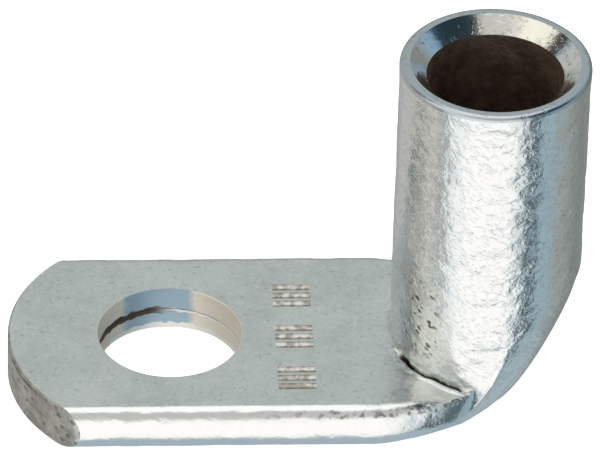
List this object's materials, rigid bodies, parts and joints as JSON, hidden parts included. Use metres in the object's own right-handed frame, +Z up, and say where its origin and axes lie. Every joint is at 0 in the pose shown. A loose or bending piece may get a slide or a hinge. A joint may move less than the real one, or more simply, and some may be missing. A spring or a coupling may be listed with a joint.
{
  "type": "tubular cable lug folded square, with one stud hole",
  "caption": "Tinned copper tube cable lug folded square: an open barrel for the conductor stands on a flat pressed palm with a round end and a stud hole",
  "frame": {"origin": "on the stud hole's axis, at the palm's underside", "axes": "+X from the stud hole towards the barrel, along the palm's length; +Y across the palm; +Z up the barrel, out of its mouth"},
  "size_m": [0.0212, 0.01, 0.014],
  "materials": {
    "tinned_copper": "matte to satin electroplated tin over copper tube, finely grained and lightly dimpled"
  },
  "bodies": {
    "root": {"lug": "tinned_copper"}
  },
  "joints": []
}
